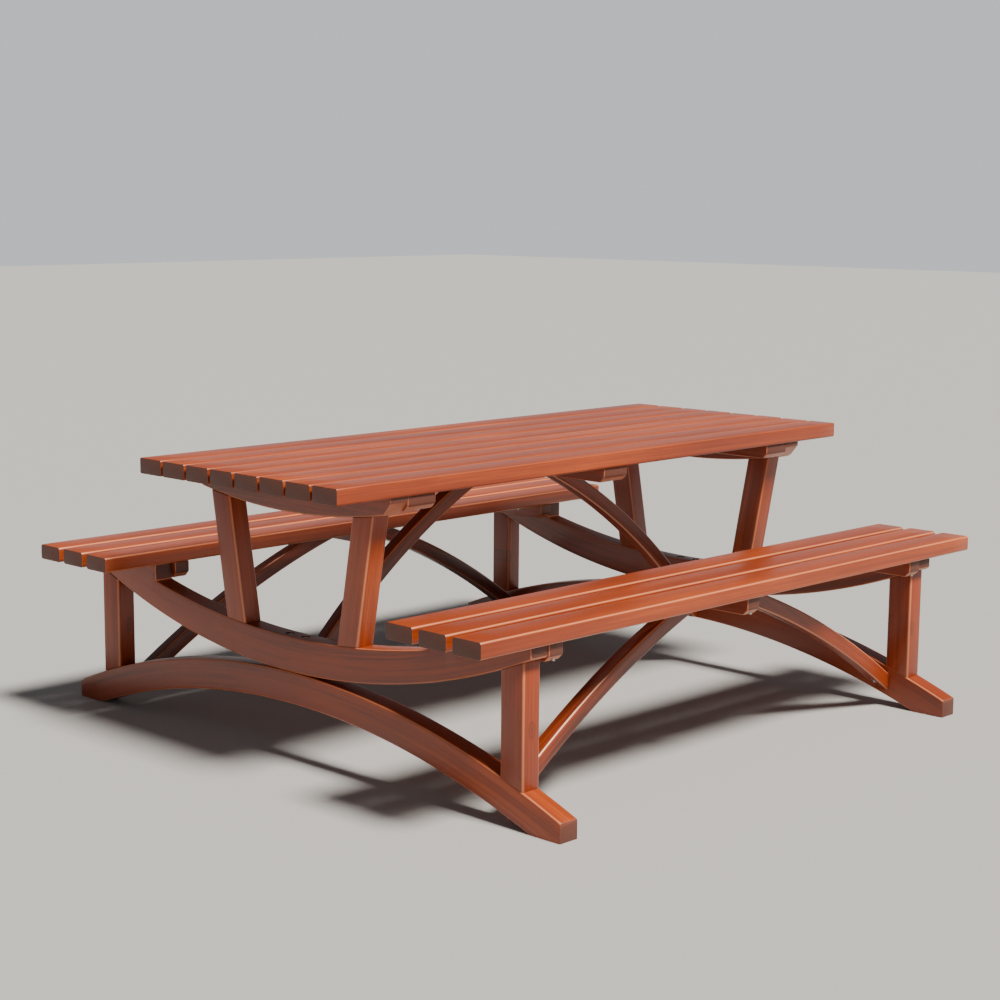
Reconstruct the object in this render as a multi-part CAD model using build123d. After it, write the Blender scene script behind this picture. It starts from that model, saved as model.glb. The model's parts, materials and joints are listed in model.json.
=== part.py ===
from build123d import *
from math import atan, cos, degrees, radians, sqrt, tan
import os

# Timber picnic table with two benches on two curved end frames, in millimetres.
# X runs along the table, Y across it and Z up from the ground. Each end frame is an
# arch on the ground, a sagging seat beam on top of it, two upright legs, two leaning
# posts and a table beam. Boards, cleats and braces tie the two frames together.

# ---- boards -------------------------------------------------------------------------
table_length = 2000.0
table_height = 766.0
bench_height = 479.0
board_width = 90.0
board_thickness = 42.0
top_board_count = 8
top_board_gap = 7.0
seat_board_count = 3
seat_board_gap = 18.5
knee_gap = 163.5            # in plan, from the edge of the top to the edge of a bench
edge_round = 5.0            # round worked along every timber but the braces

# ---- end frames ---------------------------------------------------------------------
frame_overhang = 176.0      # board ends past the outer face of a frame
frame_thickness = 58.0
upright_width = 75.0        # legs and posts
arch_clearance = 151.0      # ground to the arch at its middle
arch_depth = 83.0
foot_reach = 80.0           # foot past the outer edge of the bench
foot_length = 101.0         # flat of a foot on the ground
seat_beam_depth = 92.0
seat_beam_nose = 30.0
seat_beam_inset = 15.0      # beam end inside the bench edge
seat_beam_heel = 46.0       # upright step where the beam starts to carry the bench
seat_beam_heel_inset = 18.0
table_beam_depth = 77.0
table_beam_end_depth = 46.0
table_beam_nose = 12.0
table_beam_cut = 30.0       # run of the sloping cut at each end
table_beam_inset = 6.5
leg_inset = 74.0            # leg centre inside the outer edge of the bench
post_foot_spread = 218.0    # post centre to the middle of the table, on the seat beam
post_lean = 10.0            # degrees

# ---- cleats under the boards --------------------------------------------------------
table_cleat_width = 94.0
table_cleat_thickness = 40.0
seat_cleat_width = 48.0
seat_cleat_thickness = 45.0
cleat_cut = 15.0            # sloping cut under each end of a cleat
seat_cleat_inner_inset = 4.0
seat_cleat_outer_inset = 12.0

# ---- braces -------------------------------------------------------------------------
brace_width = 42.0
brace_depth = 42.0
brace_bevel = 3.5           # bevel worked along the four edges of a brace
table_brace_radius = 1970.0
table_brace_offset = 43.0   # each table brace stands this far to its side of the middle
table_brace_foot = 201.0    # top edge of the brace at the frame, above the ground
bench_brace_radius = 2565.0
bench_brace_foot = 99.0
bench_brace_foot_spread = 736.0   # centre of the brace foot from the middle of the table
bench_brace_head_run = 80.0       # flat of the brace head under the middle board
brace_foot_lift = 4.0       # lowest point of a table brace above the arch underside

# ---- fixings ------------------------------------------------------------------------
clearance = 0.2             # round each shank and each head
board_screw_radius = 2.5
board_screw_head_radius = 4.5
board_screw_head_height = 3.0
board_screw_hold = 30.0     # length of a screw in the board that it holds
board_screw_recess = 4.0
beam_screw_radius = 3.0
beam_screw_head_radius = 6.0
beam_screw_head_height = 4.0
beam_screw_hold = 45.0      # length of a screw in the timber that it holds on to
beam_screw_recess = 6.0
brace_screw_bearing = 8.0   # timber under the head of a screw in a brace foot
brace_screw_drop = 30.0     # from the boards down to the screws in a table brace head
brace_screw_spread = 8.0
coach_screw_radius = 4.0
coach_screw_head_width = 13.0
coach_screw_head_height = 5.5
coach_screw_grip = 85.0     # length of a coach screw past the joint that it closes
coach_screw_spread = 17.0
coach_screw_recess = 20.0
bolt_radius = 5.0
bolt_head_width = 17.0
bolt_head_height = 6.5
bolt_recess = 12.0
bolt_spread = 30.0
washer_radius = 11.0
washer_thickness = 2.0
nut_height = 8.0

# ---- places worked out from the sizes -----------------------------------------------
top_width = top_board_count * board_width + (top_board_count - 1) * top_board_gap
seat_width = seat_board_count * board_width + (seat_board_count - 1) * seat_board_gap
seat_inner = top_width / 2 + knee_gap
seat_outer = seat_inner + seat_width
seat_middle = (seat_inner + seat_outer) / 2
top_underside = table_height - board_thickness
seat_underside = bench_height - board_thickness
frame_outer = table_length / 2 - frame_overhang
frame_inner = frame_outer - frame_thickness
frame_middle = (frame_outer + frame_inner) / 2
leg_middle = seat_outer - leg_inset
foot_end = seat_outer + foot_reach
beam_end = seat_outer - seat_beam_inset
heel = seat_inner + seat_beam_heel_inset
table_beam_end = top_width / 2 - table_beam_inset
table_cleat_middle = frame_inner - table_cleat_width / 2
seat_cleat_middle = frame_inner - seat_cleat_width / 2
arch_crown = arch_clearance + arch_depth
far = 3 * table_length      # longer than anything that it has to cut through


def arc_radius(half_chord, rise):
    """Radius of an arc that rises this much over half its chord."""
    return (half_chord ** 2 + rise ** 2) / (2 * rise)


arch_inner_radius = arc_radius(foot_end - foot_length, arch_clearance)
arch_outer_radius = arch_inner_radius + arch_depth
arch_centre = arch_clearance - arch_inner_radius
seat_beam_rise = seat_underside - seat_beam_nose - arch_crown
seat_beam_low_radius = arc_radius(beam_end, seat_beam_rise)
seat_beam_low_centre = arch_crown + seat_beam_low_radius
seat_beam_top = arch_crown + seat_beam_depth
seat_beam_high_radius = arc_radius(heel, seat_underside - seat_beam_heel - seat_beam_top)
seat_beam_high_centre = seat_beam_top + seat_beam_high_radius
table_beam_flat_end = table_beam_end - table_beam_cut
table_beam_radius = arc_radius(table_beam_flat_end, table_beam_depth - table_beam_end_depth)
table_beam_centre = top_underside - table_beam_depth + table_beam_radius


def height_on(centre, radius, y, above):
    """Height of an arc at y. It lies above or below its centre."""
    return centre + (1 if above else -1) * sqrt(radius ** 2 - y ** 2)


def box(low, high):
    """Box between two corners."""
    size = [b - a for a, b in zip(low, high)]
    middle = [(a + b) / 2 for a, b in zip(low, high)]
    return Pos(*middle) * Box(*size)


def timber(low, high):
    """Sawn timber between two corners, with every edge rounded."""
    piece = box(low, high)
    return fillet(piece.edges(), edge_round)


def rims(piece):
    """The round edges of a piece cut from a ring or a disc."""
    return piece.edges().filter_by(GeomType.CIRCLE)


def disc(radius, thickness, rounded=0.0):
    """Upright disc about the X axis, with its two rims rounded."""
    piece = Rot(0, 90, 0) * Cylinder(radius, thickness)
    if rounded:
        piece = fillet(rims(piece), rounded)
    return piece


def ring(outer, depth, thickness):
    """Upright square-edged ring about the X axis."""
    return disc(outer, thickness) - disc(outer - depth, 2 * thickness)


# ---- fixings and their holes --------------------------------------------------------
def screw(shank_radius, length, head_radius, head_height, sides=0):
    """Screw along +Z with its head below z = 0, round or with flats."""
    if sides:
        head = extrude(RegularPolygon(head_radius, sides, major_radius=False), head_height)
    else:
        head = Pos(0, 0, head_height / 2) * Cylinder(head_radius, head_height)
    shank = Pos(0, 0, length / 2) * Cylinder(shank_radius, length)
    return Pos(0, 0, -head_height) * head + shank


def screw_hole(shank_radius, length, head_radius, recess):
    """Hole for a screw, with a round recess that reaches outwards for its head."""
    shank = Pos(0, 0, length / 2) * Cylinder(shank_radius + clearance, length + 2 * clearance)
    pocket = Pos(0, 0, -recess / 2) * Cylinder(head_radius + clearance, recess)
    return shank + pocket


def hex_reach(width):
    """Distance from the middle of a hexagon head to its corners."""
    return width / 2 / cos(radians(30))


def placed(piece, places):
    """Group of separate copies of a piece, one at each place."""
    return Compound([(place * piece).solid() for place in places])


def board_middles(count, gap, middle):
    """Centre lines of the boards laid side by side about a middle."""
    pitch = board_width + gap
    return [middle + (index - (count - 1) / 2) * pitch for index in range(count)]


top_rows = board_middles(top_board_count, top_board_gap, 0.0)
seat_rows = board_middles(seat_board_count, seat_board_gap, seat_middle)
screw_pair = (-board_width / 4, board_width / 4)



def board_screw_pair(cleat_thickness):
    """A screw up through a cleat into a board, and its hole."""
    length = cleat_thickness - board_screw_recess + board_screw_hold
    piece = screw(board_screw_radius, length, board_screw_head_radius, board_screw_head_height)
    hole = screw_hole(board_screw_radius, length, board_screw_head_radius, board_screw_recess)
    return piece, hole


top_screw, top_screw_hole = board_screw_pair(table_cleat_thickness)
seat_screw, seat_screw_hole = board_screw_pair(seat_cleat_thickness)
table_screw_height = top_underside - table_cleat_thickness + board_screw_recess
seat_screw_height = seat_underside - seat_cleat_thickness + board_screw_recess
top_screw_places = [
    Pos(x, row + shift, table_screw_height)
    for x in (-table_cleat_middle, 0.0, table_cleat_middle)
    for row in top_rows
    for shift in screw_pair
]
seat_screw_places = [
    Pos(x, side * (row + shift), seat_screw_height)
    for x in (-seat_cleat_middle, 0.0, seat_cleat_middle)
    for side in (-1, 1)
    for row in seat_rows
    for shift in screw_pair
]


def sideways(x, y, z, direction):
    """Place of a screw that runs along X towards one end of the table."""
    return Pos(x, y, z) * Rot(0, 90 * direction, 0)


# Cleats are screwed sideways to the beams, between the pairs of board screws.
table_cleat_screw_length = table_cleat_width - beam_screw_recess + beam_screw_hold
seat_cleat_screw_length = seat_cleat_width - beam_screw_recess + beam_screw_hold
table_pitch = board_width + top_board_gap
seat_pitch = board_width + seat_board_gap
table_cleat_screw_places = [
    sideways(end * (frame_inner - table_cleat_width + beam_screw_recess), y,
             top_underside - table_cleat_thickness / 2, end)
    for end in (-1, 1)
    for y in (-2 * table_pitch, 0.0, 2 * table_pitch)
]
seat_cleat_screw_places = [
    sideways(end * (frame_inner - seat_cleat_width + beam_screw_recess), side * y,
             seat_underside - seat_cleat_thickness / 2, end)
    for end in (-1, 1)
    for side in (-1, 1)
    for y in (seat_middle - 0.4 * seat_pitch, seat_middle + 0.4 * seat_pitch)
]


def beam_screw_pair(length, recess):
    """A flat-headed structural screw and its hole."""
    piece = screw(beam_screw_radius, length, beam_screw_head_radius, beam_screw_head_height)
    hole = screw_hole(beam_screw_radius, length, beam_screw_head_radius, recess)
    return piece, hole


table_cleat_screw, table_cleat_hole = beam_screw_pair(table_cleat_screw_length,
                                                      beam_screw_recess)
seat_cleat_screw, seat_cleat_hole = beam_screw_pair(seat_cleat_screw_length,
                                                    beam_screw_recess)


def coach_pair(length):
    """A hexagon-headed coach screw and its hole, with a recess that clears the timber."""
    piece = screw(coach_screw_radius, length, coach_screw_head_width / 2,
                  coach_screw_head_height, sides=6)
    hole = screw_hole(coach_screw_radius, length, hex_reach(coach_screw_head_width) + 1,
                      3 * coach_screw_recess)
    return piece, hole


# Coach screws run through a beam or an arch into the end of each upright.
def post_place(end, side, shift, along):
    """Place on a post's own axis, measured up from its foot on the seat beam."""
    lean = Rot(-side * post_lean, 0, 0)
    foot = Pos(end * frame_middle, side * post_foot_spread, post_foot)
    return foot * lean * Pos(0, shift, along)


post_foot = height_on(seat_beam_high_centre, seat_beam_high_radius, post_foot_spread, False)
post_head_spread = post_foot_spread + (top_underside - table_beam_depth - post_foot) * tan(
    radians(post_lean))
post_head = height_on(table_beam_centre, table_beam_radius, post_head_spread, False)
post_length = (post_head - post_foot) / cos(radians(post_lean))
shifts = (-coach_screw_spread, coach_screw_spread)
corners = [(end, side) for end in (-1, 1) for side in (-1, 1)]

post_foot_through = seat_beam_depth - coach_screw_recess
post_foot_screw, post_foot_hole = coach_pair(post_foot_through + coach_screw_grip)
post_foot_places = [
    post_place(end, side, shift, -post_foot_through)
    for end, side in corners
    for shift in shifts
]
post_head_through = (top_underside - post_head) / cos(radians(post_lean)) - coach_screw_recess
post_head_screw, post_head_hole = coach_pair(post_head_through + coach_screw_grip)
post_head_places = [
    post_place(end, side, shift, post_length + post_head_through) * Rot(180, 0, 0)
    for end, side in corners
    for shift in shifts
]

leg_foot = height_on(arch_centre, arch_outer_radius, leg_middle, True)
leg_head = height_on(seat_beam_low_centre, seat_beam_low_radius, leg_middle, False)
arch_under_leg = height_on(arch_centre, arch_inner_radius, leg_middle, True)
leg_foot_bearing = arch_under_leg + coach_screw_recess
leg_foot_screw, leg_foot_hole = coach_pair(leg_foot - leg_foot_bearing + coach_screw_grip)
leg_foot_places = [
    Pos(end * frame_middle, side * leg_middle + shift, leg_foot_bearing)
    for end, side in corners
    for shift in shifts
]
leg_head_bearing = seat_underside - coach_screw_recess
leg_head_screw, leg_head_hole = coach_pair(leg_head_bearing - leg_head + coach_screw_grip)
leg_head_places = [
    Pos(end * frame_middle, side * leg_middle + shift, leg_head_bearing) * Rot(180, 0, 0)
    for end, side in corners
    for shift in shifts
]

# Two bolts hold the seat beam down on the crown of each arch.
bolt_low = arch_clearance + bolt_recess
bolt_high = seat_beam_top - bolt_recess
bolt_head_seat = bolt_low - washer_thickness
nut_seat = bolt_high + washer_thickness
bolt_places = [
    Pos(end * frame_middle, y, 0) for end in (-1, 1) for y in (-bolt_spread, bolt_spread)
]
bolt = Pos(0, 0, bolt_head_seat) * screw(bolt_radius, nut_seat + nut_height - bolt_head_seat,
                                         bolt_head_width / 2, bolt_head_height, sides=6)
bolt_bore = Cylinder(bolt_radius + clearance, far)
washer_pocket = Cylinder(washer_radius + clearance, far)
bolt_hole = (
    bolt_bore
    + Pos(0, 0, bolt_low - far / 2) * washer_pocket
    + Pos(0, 0, bolt_high + far / 2) * washer_pocket
)
washer = Cylinder(washer_radius, washer_thickness) - bolt_bore
washer_places = [
    place * Pos(0, 0, z)
    for place in bolt_places
    for z in (bolt_low - washer_thickness / 2, bolt_high + washer_thickness / 2)
]
nut = extrude(RegularPolygon(bolt_head_width / 2, 6, major_radius=False), nut_height)
nut = nut - bolt_bore
nut_places = [place * Pos(0, 0, nut_seat) for place in bolt_places]


# ---- where the braces run -----------------------------------------------------------
def centre_below(head, foot, radius):
    """Centre, below the arc, of a circle through a brace's head and foot."""
    (x1, z1), (x2, z2) = head, foot
    run, drop = x2 - x1, z1 - z2
    chord = sqrt(run ** 2 + drop ** 2)
    reach = sqrt(radius ** 2 - chord ** 2 / 4)
    return (x1 + x2) / 2 - reach * drop / chord, (z1 + z2) / 2 - reach * run / chord


def edge_height(centre, radius, x):
    """Height of a brace edge at a distance from the middle of the table."""
    return centre[1] + sqrt(radius ** 2 - (x - centre[0]) ** 2)


def edge_reach(centre, radius, z):
    """Distance from the middle of the table at which a brace edge has a height."""
    return centre[0] + sqrt(radius ** 2 - (z - centre[1]) ** 2)


table_brace_centre = centre_below((table_cleat_width / 2, top_underside),
                                  (frame_inner, table_brace_foot), table_brace_radius)
bench_brace_centre = centre_below((seat_cleat_width / 2 + bench_brace_head_run, seat_underside),
                                  (frame_inner, bench_brace_foot), bench_brace_radius)
bench_brace_turn = degrees(atan((bench_brace_foot_spread - seat_middle) / frame_inner))

table_brace_head_screw, table_brace_head_hole = beam_screw_pair(
    table_cleat_width - beam_screw_recess + beam_screw_hold, beam_screw_recess)
table_brace_head_places = [
    sideways(-end * (table_cleat_width / 2 - beam_screw_recess),
             -end * table_brace_offset + shift, top_underside - brace_screw_drop, end)
    for end in (-1, 1)
    for shift in (-brace_screw_spread, brace_screw_spread)
]


def foot_bearing(centre, radius, z):
    """Distance from the middle of the table of a foot screw's head."""
    return edge_reach(centre, radius - brace_depth, z) + brace_screw_bearing


table_brace_screw_height = table_brace_foot - brace_depth / 2
table_brace_bearing = foot_bearing(table_brace_centre, table_brace_radius,
                                   table_brace_screw_height)
table_brace_foot_screw, table_brace_foot_hole = beam_screw_pair(
    frame_inner - table_brace_bearing + beam_screw_hold, 2 * brace_depth)
table_brace_foot_places = [
    sideways(end * table_brace_bearing, -end * table_brace_offset, table_brace_screw_height, end)
    for end in (-1, 1)
]
bench_brace_screw_height = bench_brace_foot - brace_depth / 2
bench_brace_bearing = foot_bearing(bench_brace_centre, bench_brace_radius,
                                   bench_brace_screw_height)
bench_brace_foot_screw, bench_brace_foot_hole = beam_screw_pair(
    frame_inner - bench_brace_bearing + beam_screw_hold, 2 * brace_depth)
bench_brace_foot_places = [
    sideways(end * bench_brace_bearing, side * bench_brace_foot_spread,
             bench_brace_screw_height, end)
    for end, side in corners
]
bench_head_screw_reach = seat_cleat_width / 2 + bench_brace_head_run / 2
bench_head_bearing = beam_screw_recess + edge_height(
    bench_brace_centre, bench_brace_radius - brace_depth, bench_head_screw_reach)
bench_brace_head_screw, bench_brace_head_hole = beam_screw_pair(
    seat_underside - bench_head_bearing + board_screw_hold, brace_depth)
bench_brace_head_places = [
    Pos(end * bench_head_screw_reach,
        side * (seat_middle + bench_head_screw_reach * tan(radians(bench_brace_turn))),
        bench_head_bearing)
    for end, side in corners
]


# ---- timbers ------------------------------------------------------------------------
def meets(first, second):
    """Whether the boxes of two shapes overlap."""
    a, b = first.bounding_box(), second.bounding_box()
    return all(
        low_a < high_b and low_b < high_a
        for low_a, high_a, low_b, high_b in zip(a.min, a.max, b.min, b.max)
    )


def drilled(piece, *drillings):
    """A timber with the holes that reach it, each a hole shape and its places."""
    for hole, places in drillings:
        for place in places:
            tool = place * hole
            if meets(piece, tool):
                piece = piece - tool
    return piece


def rounded_profile(points, low, high):
    """Timber of one outline in Y and Z, from one X to another, its outline edges rounded."""
    face = Plane.YZ * make_face(Polyline(*points, close=True))
    piece = Pos(low, 0, 0) * extrude(face, high - low)
    sides = piece.faces().sort_by(Axis.X)
    return fillet(sides[0].edges() + sides[-1].edges(), edge_round)


top_screws = (top_screw_hole, top_screw_places)
seat_screws = (seat_screw_hole, seat_screw_places)
table_cleat_screws = (table_cleat_hole, table_cleat_screw_places)
seat_cleat_screws = (seat_cleat_hole, seat_cleat_screw_places)
post_foot_screws = (post_foot_hole, post_foot_places)
post_head_screws = (post_head_hole, post_head_places)
leg_foot_screws = (leg_foot_hole, leg_foot_places)
leg_head_screws = (leg_head_hole, leg_head_places)
centre_bolts = (bolt_hole, bolt_places)
table_brace_head_screws = (table_brace_head_hole, table_brace_head_places)
table_brace_foot_screws = (table_brace_foot_hole, table_brace_foot_places)
bench_brace_head_screws = (bench_brace_head_hole, bench_brace_head_places)
bench_brace_foot_screws = (bench_brace_foot_hole, bench_brace_foot_places)

pieces = {}


def add_boards():
    """Boards of the table top and of the two benches."""
    def board(row, top):
        """Board along the table about a centre line."""
        return timber((-table_length / 2, row - board_width / 2, top - board_thickness),
                      (table_length / 2, row + board_width / 2, top))

    for number, row in enumerate(top_rows, 1):
        pieces[f"top_board_{number}"] = drilled(board(row, table_height), top_screws)
    for bench, side in (("front", -1), ("rear", 1)):
        for number, row in enumerate(seat_rows, 1):
            pieces[f"{bench}_seat_board_{number}"] = drilled(
                board(side * row, bench_height), seat_screws, bench_brace_head_screws)


def add_cleats():
    """Cleats across the underside of the top and of each bench."""
    def cleat(inner, outer, top, thickness, middle, width):
        """Cleat across the boards, each end cut back underneath."""
        low = top - thickness
        nose = low + cleat_cut
        outline = [(inner, top), (outer, top), (outer, nose), (outer - cleat_cut, low),
                   (inner + cleat_cut, low), (inner, nose)]
        return rounded_profile(outline, middle - width / 2, middle + width / 2)

    for place, end in (("left", -1), ("middle", 0), ("right", 1)):
        blank = cleat(-table_beam_end, table_beam_end, top_underside, table_cleat_thickness,
                      end * table_cleat_middle, table_cleat_width)
        pieces[f"table_cleat_{place}"] = drilled(
            blank, top_screws, table_cleat_screws, table_brace_head_screws)
        for bench, side in (("front", -1), ("rear", 1)):
            ends = sorted((side * (seat_inner + seat_cleat_inner_inset),
                           side * (seat_outer - seat_cleat_outer_inset)))
            blank = cleat(*ends, seat_underside, seat_cleat_thickness,
                          end * seat_cleat_middle, seat_cleat_width)
            pieces[f"{bench}_seat_cleat_{place}"] = drilled(
                blank, seat_screws, seat_cleat_screws)


def add_frame(name, end):
    """One end frame: arch, seat beam, table beam, legs and posts."""
    low, high = sorted((end * frame_inner, end * frame_outer))
    at_frame = Pos((low + high) / 2, 0, 0)

    def across(reach, bottom, top):
        """Box of the frame's own thickness, a distance each side of the middle."""
        return box((low, -reach, bottom), (high, reach, top))

    arch_ring = ring(arch_outer_radius, arch_depth, frame_thickness)
    arch_ring = at_frame * Pos(0, 0, arch_centre) * fillet(rims(arch_ring), edge_round)
    arch = arch_ring & across(foot_end, 0, arch_crown)
    pieces[f"{name}_arch"] = drilled(
        arch, leg_foot_screws, centre_bolts, table_brace_foot_screws, bench_brace_foot_screws)

    low_disc = disc(seat_beam_low_radius, frame_thickness, edge_round)
    high_disc = disc(seat_beam_high_radius, far)
    sag = (Pos(0, 0, seat_beam_high_centre) * high_disc) & box(
        (-far, -heel, arch_crown), (far, heel, seat_underside + 1))
    beam = across(beam_end, arch_crown, seat_underside) & (
        at_frame * Pos(0, 0, seat_beam_low_centre) * low_disc)
    pieces[f"{name}_seat_beam"] = drilled(
        beam - sag, post_foot_screws, leg_head_screws, seat_cleat_screws, centre_bolts)

    slope = (table_beam_end_depth - table_beam_nose) / table_beam_cut
    deep = 2 * table_beam_depth
    narrow = table_beam_end - (deep - table_beam_nose) / slope
    outline = [(table_beam_end, top_underside), (table_beam_end, top_underside - table_beam_nose),
               (narrow, top_underside - deep), (-narrow, top_underside - deep),
               (-table_beam_end, top_underside - table_beam_nose),
               (-table_beam_end, top_underside)]
    blank = Pos(low, 0, 0) * extrude(Plane.YZ * make_face(Polyline(*outline, close=True)),
                                     frame_thickness)
    beam = blank & (at_frame * Pos(0, 0, table_beam_centre)
                    * disc(table_beam_radius, frame_thickness, edge_round))
    pieces[f"{name}_table_beam"] = drilled(beam, post_head_screws, table_cleat_screws)

    for row, side in (("front", -1), ("rear", 1)):
        leg_low, leg_high = sorted((side * (leg_middle - upright_width / 2),
                                    side * (leg_middle + upright_width / 2)))
        blank = timber((low, leg_low, arch_clearance / 2), (high, leg_high, seat_underside))
        leg = blank - Pos(0, 0, arch_centre) * disc(arch_outer_radius, far)
        leg = leg - Pos(0, 0, seat_beam_low_centre) * disc(seat_beam_low_radius, far)
        pieces[f"{name}_{row}_leg"] = drilled(leg, leg_foot_screws, leg_head_screws)

        blank = timber((-frame_thickness / 2, -upright_width / 2, -upright_width),
                       (frame_thickness / 2, upright_width / 2, post_length + upright_width))
        post = post_place(end, side, 0, 0) * blank
        post = post & Pos(0, 0, seat_beam_high_centre) * high_disc
        post = post - Pos(0, 0, table_beam_centre) * disc(table_beam_radius, far)
        pieces[f"{name}_{row}_post"] = drilled(post, post_foot_screws, post_head_screws)


def add_braces():
    """Curved braces from the middle cleats down to the arches."""
    def curved(radius, centre, end):
        """Whole circle of brace timber, upright and along the table."""
        return Pos(end * centre[0], 0, centre[1]) * Rot(0, 0, 90) * ring(
            radius, brace_depth, brace_width)

    def between(end, cleat_width, bottom, top):
        """Space between a cleat and a frame, from one height to another."""
        low, high = sorted((end * cleat_width / 2, end * frame_inner))
        return box((low, -foot_end, bottom), (high, foot_end, top))

    for name, end in (("left", -1), ("right", 1)):
        brace = Pos(0, -end * table_brace_offset, 0) * curved(
            table_brace_radius, table_brace_centre, end)
        brace = brace & between(end, table_cleat_width, arch_clearance + brace_foot_lift,
                                top_underside)
        pieces[f"table_brace_{name}"] = drilled(
            chamfer(rims(brace), brace_bevel), table_brace_head_screws, table_brace_foot_screws)
        for bench, side in (("front", -1), ("rear", 1)):
            turned = Pos(0, side * seat_middle, 0) * Rot(0, 0, end * side * bench_brace_turn)
            brace = turned * curved(bench_brace_radius, bench_brace_centre, end)
            brace = brace & between(end, seat_cleat_width, 0, seat_underside)
            pieces[f"{bench}_brace_{name}"] = drilled(
                chamfer(rims(brace), brace_bevel), bench_brace_head_screws, bench_brace_foot_screws)


def add_fixings():
    """Screws, bolts, washers and nuts, one group of each kind."""
    pieces["top_board_screws"] = placed(top_screw, top_screw_places)
    pieces["seat_board_screws"] = placed(seat_screw, seat_screw_places)
    pieces["table_cleat_screws"] = placed(table_cleat_screw, table_cleat_screw_places)
    pieces["seat_cleat_screws"] = placed(seat_cleat_screw, seat_cleat_screw_places)
    pieces["post_foot_screws"] = placed(post_foot_screw, post_foot_places)
    pieces["post_head_screws"] = placed(post_head_screw, post_head_places)
    pieces["leg_foot_screws"] = placed(leg_foot_screw, leg_foot_places)
    pieces["leg_head_screws"] = placed(leg_head_screw, leg_head_places)
    pieces["table_brace_head_screws"] = placed(table_brace_head_screw, table_brace_head_places)
    pieces["table_brace_foot_screws"] = placed(table_brace_foot_screw, table_brace_foot_places)
    pieces["bench_brace_head_screws"] = placed(bench_brace_head_screw, bench_brace_head_places)
    pieces["bench_brace_foot_screws"] = placed(bench_brace_foot_screw, bench_brace_foot_places)
    pieces["centre_bolts"] = placed(bolt, bolt_places)
    pieces["centre_washers"] = placed(washer, washer_places)
    pieces["centre_nuts"] = placed(nut, nut_places)


add_boards()
add_cleats()
add_frame("left", -1)
add_frame("right", 1)
add_braces()
add_fixings()

os.makedirs("parts", exist_ok=True)
for name, piece in pieces.items():
    export_step(piece, f"parts/{name}.step")
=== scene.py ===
import json
from math import atan, ceil, cos, hypot, pi, radians, sin, sqrt
import bpy
from mathutils import Euler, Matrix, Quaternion, Vector

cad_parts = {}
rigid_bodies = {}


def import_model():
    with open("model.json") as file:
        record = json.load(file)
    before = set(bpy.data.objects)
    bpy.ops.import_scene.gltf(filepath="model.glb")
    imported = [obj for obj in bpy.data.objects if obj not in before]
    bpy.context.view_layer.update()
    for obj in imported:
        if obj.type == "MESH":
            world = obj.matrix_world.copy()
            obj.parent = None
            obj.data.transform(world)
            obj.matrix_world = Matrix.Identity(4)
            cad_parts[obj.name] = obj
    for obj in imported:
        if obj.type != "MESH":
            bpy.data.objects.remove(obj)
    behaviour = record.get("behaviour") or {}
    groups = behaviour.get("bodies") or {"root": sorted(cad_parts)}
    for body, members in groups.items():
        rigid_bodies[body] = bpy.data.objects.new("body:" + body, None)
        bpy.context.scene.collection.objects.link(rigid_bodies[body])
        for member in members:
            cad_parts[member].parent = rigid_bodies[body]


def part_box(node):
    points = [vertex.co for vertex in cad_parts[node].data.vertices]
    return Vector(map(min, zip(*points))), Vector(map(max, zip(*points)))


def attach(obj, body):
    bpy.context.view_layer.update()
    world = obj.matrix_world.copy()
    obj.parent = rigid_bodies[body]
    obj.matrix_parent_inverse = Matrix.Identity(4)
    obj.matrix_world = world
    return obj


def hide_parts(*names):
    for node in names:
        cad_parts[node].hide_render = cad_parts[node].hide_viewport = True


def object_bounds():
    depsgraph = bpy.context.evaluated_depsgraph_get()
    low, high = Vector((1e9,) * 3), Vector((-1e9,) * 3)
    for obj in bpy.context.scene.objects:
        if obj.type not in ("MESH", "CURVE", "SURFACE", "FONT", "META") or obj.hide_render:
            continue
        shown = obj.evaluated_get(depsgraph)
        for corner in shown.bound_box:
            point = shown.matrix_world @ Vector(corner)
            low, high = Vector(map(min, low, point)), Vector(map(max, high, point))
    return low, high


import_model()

cad_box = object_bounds()
ground = cad_box[0].z
table_height = cad_box[1].z


# ---- camera -------------------------------------------------------------------------
# A long lens stands off the front left corner of the table, about 1.45 m above the
# ground, and looks slightly down across the front bench.
camera_rise = 0.679         # over the table top
camera_dip = radians(9.11)
camera_swing = radians(-44.69)
camera_roll = radians(0.24)
bpy.ops.object.camera_add(location=(-4.043, -3.825, table_height + camera_rise))
camera = bpy.context.object
camera_aim = Euler((pi / 2 - camera_dip, 0, camera_swing)).to_quaternion()
camera.rotation_mode = "QUATERNION"
camera.rotation_quaternion = camera_aim @ Quaternion((0, 0, 1), camera_roll)
camera.data.lens = 72.0
camera.data.sensor_width = 36.0
camera.data.shift_x = 0.0526
camera.data.shift_y = 0.0135
bpy.context.scene.camera = camera


# ---- floor and light ----------------------------------------------------------------
# The table stands on a plain pale studio floor. One soft sun stands high in front of it,
# and a pale room, brighter low down, fills the shade.
floor_width = 60
sun_strength = 8.4
sun_softness = radians(14)
horizon_band = (0.10, 0.22)     # rise of the way out where the bright band fades
horizon_glow = 0.70
sky_glow = 0.17
bpy.ops.mesh.primitive_plane_add(size=floor_width, location=(0, 0, ground))
floor = bpy.context.object
floor.name = "floor"
floor_paint = bpy.data.materials.new("floor_paint")
floor_paint.use_nodes = True
floor_shader = floor_paint.node_tree.nodes["Principled BSDF"]
floor_shader.inputs["Base Color"].default_value = (0.36, 0.355, 0.345, 1)
floor_shader.inputs["Roughness"].default_value = 0.9
floor.data.materials.append(floor_paint)

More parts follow.
